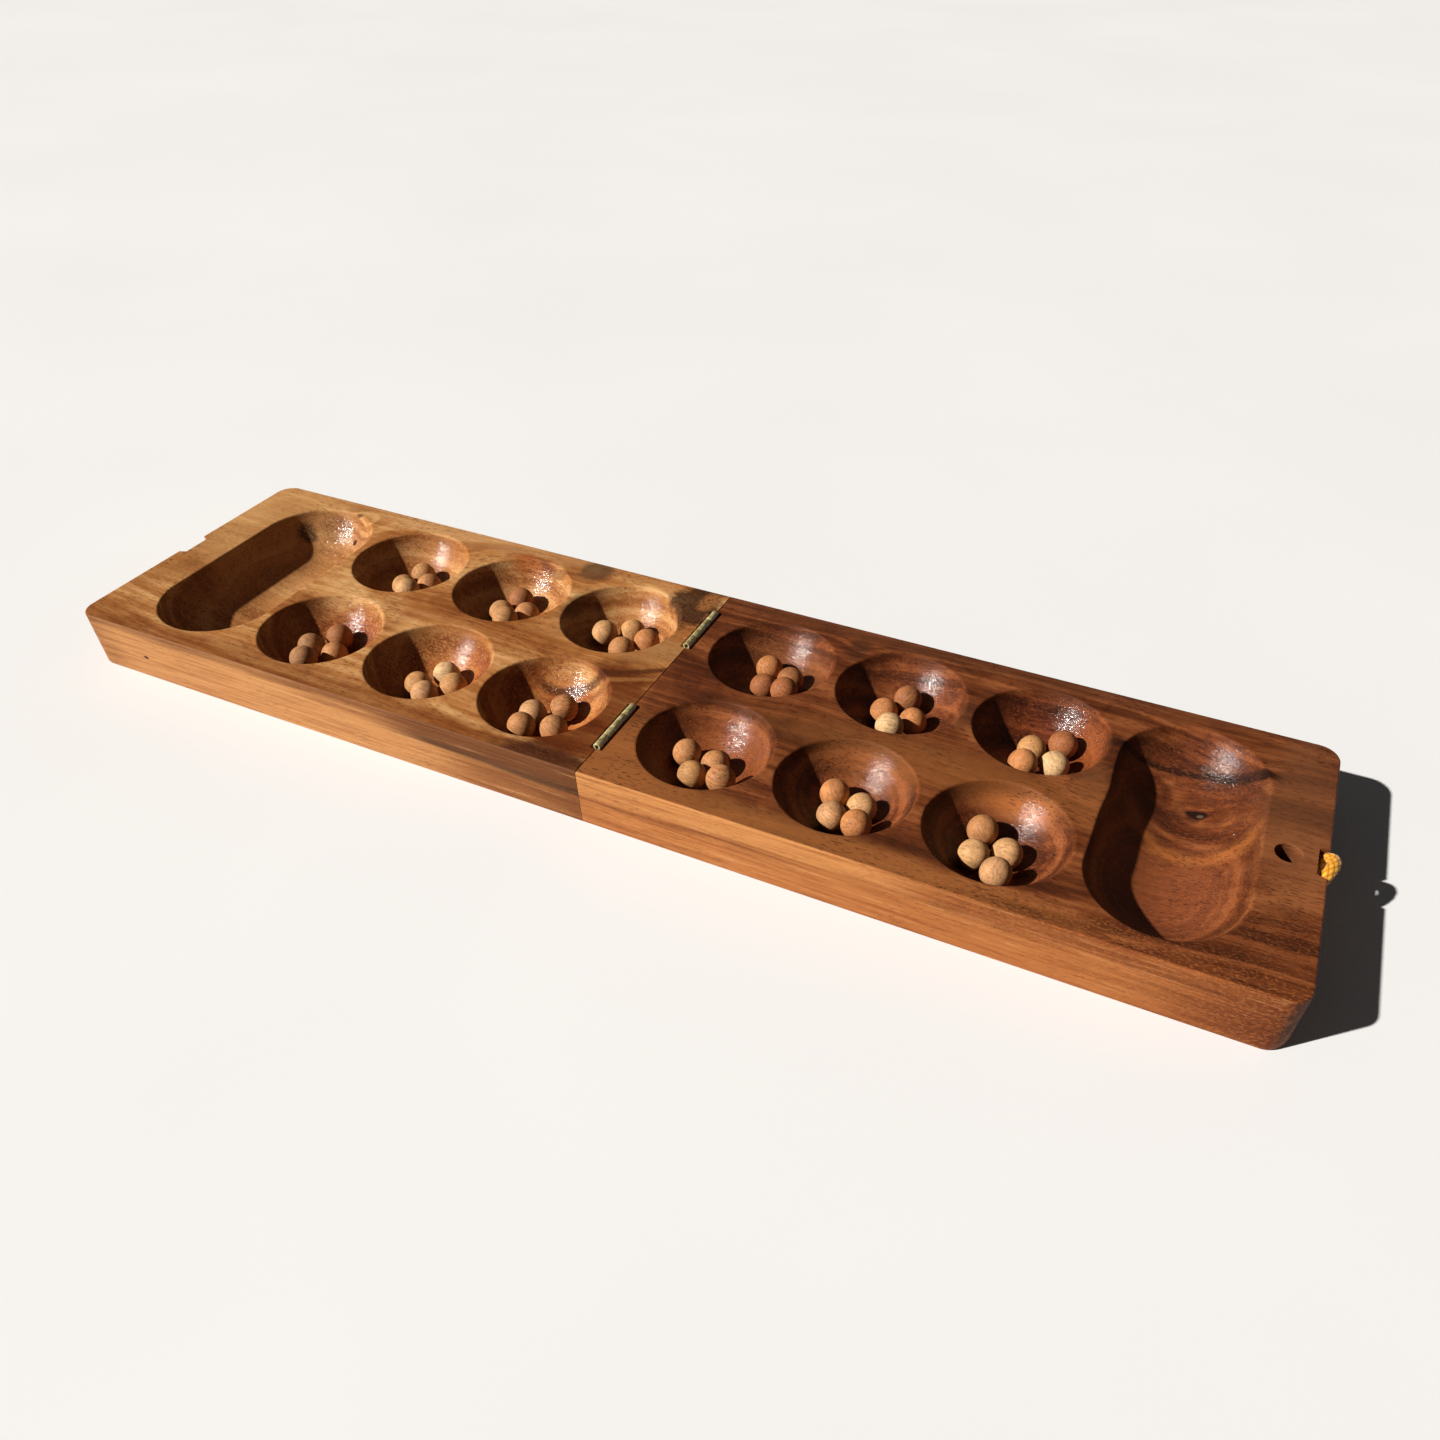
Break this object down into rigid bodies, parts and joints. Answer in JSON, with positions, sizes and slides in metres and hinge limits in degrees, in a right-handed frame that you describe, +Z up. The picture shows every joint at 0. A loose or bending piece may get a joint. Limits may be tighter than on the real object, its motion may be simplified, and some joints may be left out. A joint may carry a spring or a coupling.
{
  "type": "mancala board",
  "caption": "Folding wooden mancala board with round pits, two long stores, brass hinges, a cord loop closure and wooden seeds.",
  "frame": {"origin": "on the table, under the fold line, midway between the board's long edges", "axes": "+X along the open board to the end with the cord loop, +Y to the rear row of pits, +Z up out of the playing face"},
  "size_m": [0.45, 0.115, 0.0235],
  "materials": {
    "left_wood": "oiled, golden brown, satin",
    "right_wood": "oiled, reddish brown, satin",
    "hinge_brass": "antique, brushed",
    "pin_brass": "darkened",
    "screw_brass": "plain",
    "cord_braid": "braided, gold and orange",
    "seed_cream_wood": "bare, matte",
    "seed_pale_wood": "bare, matte",
    "seed_tan_wood": "bare, matte",
    "seed_brown_wood": "bare, matte"
  },
  "bodies": {
    "left": {"left_half": "left_wood", "front_left_hinge_leaf": "hinge_brass", "rear_left_hinge_leaf": "hinge_brass", "hinge_pins": "pin_brass", "left_leaf_screws": "screw_brass", "catch_stud": "screw_brass"},
    "right": {"right_half": "right_wood", "front_right_hinge_leaf": "hinge_brass", "rear_right_hinge_leaf": "hinge_brass", "right_leaf_screws": "screw_brass", "closure_cord": "cord_braid", "closure_knot": "cord_braid"},
    "seed_front_1_1": {"seed_front_1_1": "seed_tan_wood"},
    "seed_front_1_2": {"seed_front_1_2": "seed_brown_wood"},
    "seed_front_1_3": {"seed_front_1_3": "seed_tan_wood"},
    "seed_front_1_4": {"seed_front_1_4": "seed_tan_wood"},
    "seed_front_2_1": {"seed_front_2_1": "seed_pale_wood"},
    "seed_front_2_2": {"seed_front_2_2": "seed_pale_wood"},
    "seed_front_2_3": {"seed_front_2_3": "seed_cream_wood"},
    "seed_front_2_4": {"seed_front_2_4": "seed_pale_wood"},
    "seed_front_3_1": {"seed_front_3_1": "seed_pale_wood"},
    "seed_front_3_2": {"seed_front_3_2": "seed_tan_wood"},
    "seed_front_3_3": {"seed_front_3_3": "seed_tan_wood"},
    "seed_front_3_4": {"seed_front_3_4": "seed_tan_wood"},
    "seed_front_4_1": {"seed_front_4_1": "seed_tan_wood"},
    "seed_front_4_2": {"seed_front_4_2": "seed_tan_wood"},
    "seed_front_4_3": {"seed_front_4_3": "seed_pale_wood"},
    "seed_front_4_4": {"seed_front_4_4": "seed_tan_wood"},
    "seed_front_5_1": {"seed_front_5_1": "seed_tan_wood"},
    "seed_front_5_2": {"seed_front_5_2": "seed_pale_wood"},
    "seed_front_5_3": {"seed_front_5_3": "seed_cream_wood"},
    "seed_front_5_4": {"seed_front_5_4": "seed_tan_wood"},
    "seed_front_6_1": {"seed_front_6_1": "seed_tan_wood"},
    "seed_front_6_2": {"seed_front_6_2": "seed_cream_wood"},
    "seed_front_6_3": {"seed_front_6_3": "seed_cream_wood"},
    "seed_front_6_4": {"seed_front_6_4": "seed_pale_wood"},
    "seed_rear_1_1": {"seed_rear_1_1": "seed_pale_wood"},
    "seed_rear_1_2": {"seed_rear_1_2": "seed_pale_wood"},
    "seed_rear_1_3": {"seed_rear_1_3": "seed_tan_wood"},
    "seed_rear_1_4": {"seed_rear_1_4": "seed_cream_wood"},
    "seed_rear_2_1": {"seed_rear_2_1": "seed_pale_wood"},
    "seed_rear_2_2": {"seed_rear_2_2": "seed_pale_wood"},
    "seed_rear_2_3": {"seed_rear_2_3": "seed_brown_wood"},
    "seed_rear_2_4": {"seed_rear_2_4": "seed_tan_wood"},
    "seed_rear_3_1": {"seed_rear_3_1": "seed_cream_wood"},
    "seed_rear_3_2": {"seed_rear_3_2": "seed_pale_wood"},
    "seed_rear_3_3": {"seed_rear_3_3": "seed_tan_wood"},
    "seed_rear_3_4": {"seed_rear_3_4": "seed_tan_wood"},
    "seed_rear_4_1": {"seed_rear_4_1": "seed_tan_wood"},
    "seed_rear_4_2": {"seed_rear_4_2": "seed_brown_wood"},
    "seed_rear_4_3": {"seed_rear_4_3": "seed_brown_wood"},
    "seed_rear_4_4": {"seed_rear_4_4": "seed_brown_wood"},
    "seed_rear_5_1": {"seed_rear_5_1": "seed_tan_wood"},
    "seed_rear_5_2": {"seed_rear_5_2": "seed_cream_wood"},
    "seed_rear_5_3": {"seed_rear_5_3": "seed_brown_wood"},
    "seed_rear_5_4": {"seed_rear_5_4": "seed_tan_wood"},
    "seed_rear_6_1": {"seed_rear_6_1": "seed_pale_wood"},
    "seed_rear_6_2": {"seed_rear_6_2": "seed_brown_wood"},
    "seed_rear_6_3": {"seed_rear_6_3": "seed_tan_wood"},
    "seed_rear_6_4": {"seed_rear_6_4": "seed_cream_wood"}
  },
  "joints": [
    {"name": "fold", "type": "hinge", "parent": "left", "child": "right", "pos_m": [0, 0, 0.0222], "axis": [0, 1, 0], "range_deg": [-180, 0]},
    {"name": "seed_front_1_1_lift", "type": "slide", "parent": "left", "child": "seed_front_1_1", "axis": [0, 0, 1], "range_m": [0, 0.03]},
    {"name": "seed_front_1_2_lift", "type": "slide", "parent": "left", "child": "seed_front_1_2", "axis": [0, 0, 1], "range_m": [0, 0.03]},
    {"name": "seed_front_1_3_lift", "type": "slide", "parent": "left", "child": "seed_front_1_3", "axis": [0, 0, 1], "range_m": [0, 0.03]},
    {"name": "seed_front_1_4_lift", "type": "slide", "parent": "left", "child": "seed_front_1_4", "axis": [0, 0, 1], "range_m": [0, 0.03]},
    {"name": "seed_front_2_1_lift", "type": "slide", "parent": "left", "child": "seed_front_2_1", "axis": [0, 0, 1], "range_m": [0, 0.03]},
    {"name": "seed_front_2_2_lift", "type": "slide", "parent": "left", "child": "seed_front_2_2", "axis": [0, 0, 1], "range_m": [0, 0.03]},
    {"name": "seed_front_2_3_lift", "type": "slide", "parent": "left", "child": "seed_front_2_3", "axis": [0, 0, 1], "range_m": [0, 0.03]},
    {"name": "seed_front_2_4_lift", "type": "slide", "parent": "left", "child": "seed_front_2_4", "axis": [0, 0, 1], "range_m": [0, 0.03]},
    {"name": "seed_front_3_1_lift", "type": "slide", "parent": "left", "child": "seed_front_3_1", "axis": [0, 0, 1], "range_m": [0, 0.03]},
    {"name": "seed_front_3_2_lift", "type": "slide", "parent": "left", "child": "seed_front_3_2", "axis": [0, 0, 1], "range_m": [0, 0.03]},
    {"name": "seed_front_3_3_lift", "type": "slide", "parent": "left", "child": "seed_front_3_3", "axis": [0, 0, 1], "range_m": [0, 0.03]},
    {"name": "seed_front_3_4_lift", "type": "slide", "parent": "left", "child": "seed_front_3_4", "axis": [0, 0, 1], "range_m": [0, 0.03]},
    {"name": "seed_front_4_1_lift", "type": "slide", "parent": "right", "child": "seed_front_4_1", "axis": [0, 0, 1], "range_m": [0, 0.03]},
    {"name": "seed_front_4_2_lift", "type": "slide", "parent": "right", "child": "seed_front_4_2", "axis": [0, 0, 1], "range_m": [0, 0.03]},
    {"name": "seed_front_4_3_lift", "type": "slide", "parent": "right", "child": "seed_front_4_3", "axis": [0, 0, 1], "range_m": [0, 0.03]},
    {"name": "seed_front_4_4_lift", "type": "slide", "parent": "right", "child": "seed_front_4_4", "axis": [0, 0, 1], "range_m": [0, 0.03]},
    {"name": "seed_front_5_1_lift", "type": "slide", "parent": "right", "child": "seed_front_5_1", "axis": [0, 0, 1], "range_m": [0, 0.03]},
    {"name": "seed_front_5_2_lift", "type": "slide", "parent": "right", "child": "seed_front_5_2", "axis": [0, 0, 1], "range_m": [0, 0.03]},
    {"name": "seed_front_5_3_lift", "type": "slide", "parent": "right", "child": "seed_front_5_3", "axis": [0, 0, 1], "range_m": [0, 0.03]},
    {"name": "seed_front_5_4_lift", "type": "slide", "parent": "right", "child": "seed_front_5_4", "axis": [0, 0, 1], "range_m": [0, 0.03]},
    {"name": "seed_front_6_1_lift", "type": "slide", "parent": "right", "child": "seed_front_6_1", "axis": [0, 0, 1], "range_m": [0, 0.03]},
    {"name": "seed_front_6_2_lift", "type": "slide", "parent": "right", "child": "seed_front_6_2", "axis": [0, 0, 1], "range_m": [0, 0.03]},
    {"name": "seed_front_6_3_lift", "type": "slide", "parent": "right", "child": "seed_front_6_3", "axis": [0, 0, 1], "range_m": [0, 0.03]},
    {"name": "seed_front_6_4_lift", "type": "slide", "parent": "right", "child": "seed_front_6_4", "axis": [0, 0, 1], "range_m": [0, 0.03]},
    {"name": "seed_rear_1_1_lift", "type": "slide", "parent": "left", "child": "seed_rear_1_1", "axis": [0, 0, 1], "range_m": [0, 0.03]},
    {"name": "seed_rear_1_2_lift", "type": "slide", "parent": "left", "child": "seed_rear_1_2", "axis": [0, 0, 1], "range_m": [0, 0.03]},
    {"name": "seed_rear_1_3_lift", "type": "slide", "parent": "left", "child": "seed_rear_1_3", "axis": [0, 0, 1], "range_m": [0, 0.03]},
    {"name": "seed_rear_1_4_lift", "type": "slide", "parent": "left", "child": "seed_rear_1_4", "axis": [0, 0, 1], "range_m": [0, 0.03]},
    {"name": "seed_rear_2_1_lift", "type": "slide", "parent": "left", "child": "seed_rear_2_1", "axis": [0, 0, 1], "range_m": [0, 0.03]},
    {"name": "seed_rear_2_2_lift", "type": "slide", "parent": "left", "child": "seed_rear_2_2", "axis": [0, 0, 1], "range_m": [0, 0.03]},
    {"name": "seed_rear_2_3_lift", "type": "slide", "parent": "left", "child": "seed_rear_2_3", "axis": [0, 0, 1], "range_m": [0, 0.03]},
    {"name": "seed_rear_2_4_lift", "type": "slide", "parent": "left", "child": "seed_rear_2_4", "axis": [0, 0, 1], "range_m": [0, 0.03]},
    {"name": "seed_rear_3_1_lift", "type": "slide", "parent": "left", "child": "seed_rear_3_1", "axis": [0, 0, 1], "range_m": [0, 0.03]},
    {"name": "seed_rear_3_2_lift", "type": "slide", "parent": "left", "child": "seed_rear_3_2", "axis": [0, 0, 1], "range_m": [0, 0.03]},
    {"name": "seed_rear_3_3_lift", "type": "slide", "parent": "left", "child": "seed_rear_3_3", "axis": [0, 0, 1], "range_m": [0, 0.03]},
    {"name": "seed_rear_3_4_lift", "type": "slide", "parent": "left", "child": "seed_rear_3_4", "axis": [0, 0, 1], "range_m": [0, 0.03]},
    {"name": "seed_rear_4_1_lift", "type": "slide", "parent": "right", "child": "seed_rear_4_1", "axis": [0, 0, 1], "range_m": [0, 0.03]},
    {"name": "seed_rear_4_2_lift", "type": "slide", "parent": "right", "child": "seed_rear_4_2", "axis": [0, 0, 1], "range_m": [0, 0.03]},
    {"name": "seed_rear_4_3_lift", "type": "slide", "parent": "right", "child": "seed_rear_4_3", "axis": [0, 0, 1], "range_m": [0, 0.03]},
    {"name": "seed_rear_4_4_lift", "type": "slide", "parent": "right", "child": "seed_rear_4_4", "axis": [0, 0, 1], "range_m": [0, 0.03]},
    {"name": "seed_rear_5_1_lift", "type": "slide", "parent": "right", "child": "seed_rear_5_1", "axis": [0, 0, 1], "range_m": [0, 0.03]},
    {"name": "seed_rear_5_2_lift", "type": "slide", "parent": "right", "child": "seed_rear_5_2", "axis": [0, 0, 1], "range_m": [0, 0.03]},
    {"name": "seed_rear_5_3_lift", "type": "slide", "parent": "right", "child": "seed_rear_5_3", "axis": [0, 0, 1], "range_m": [0, 0.03]},
    {"name": "seed_rear_5_4_lift", "type": "slide", "parent": "right", "child": "seed_rear_5_4", "axis": [0, 0, 1], "range_m": [0, 0.03]},
    {"name": "seed_rear_6_1_lift", "type": "slide", "parent": "right", "child": "seed_rear_6_1", "axis": [0, 0, 1], "range_m": [0, 0.03]},
    {"name": "seed_rear_6_2_lift", "type": "slide", "parent": "right", "child": "seed_rear_6_2", "axis": [0, 0, 1], "range_m": [0, 0.03]},
    {"name": "seed_rear_6_3_lift", "type": "slide", "parent": "right", "child": "seed_rear_6_3", "axis": [0, 0, 1], "range_m": [0, 0.03]},
    {"name": "seed_rear_6_4_lift", "type": "slide", "parent": "right", "child": "seed_rear_6_4", "axis": [0, 0, 1], "range_m": [0, 0.03]}
  ]
}
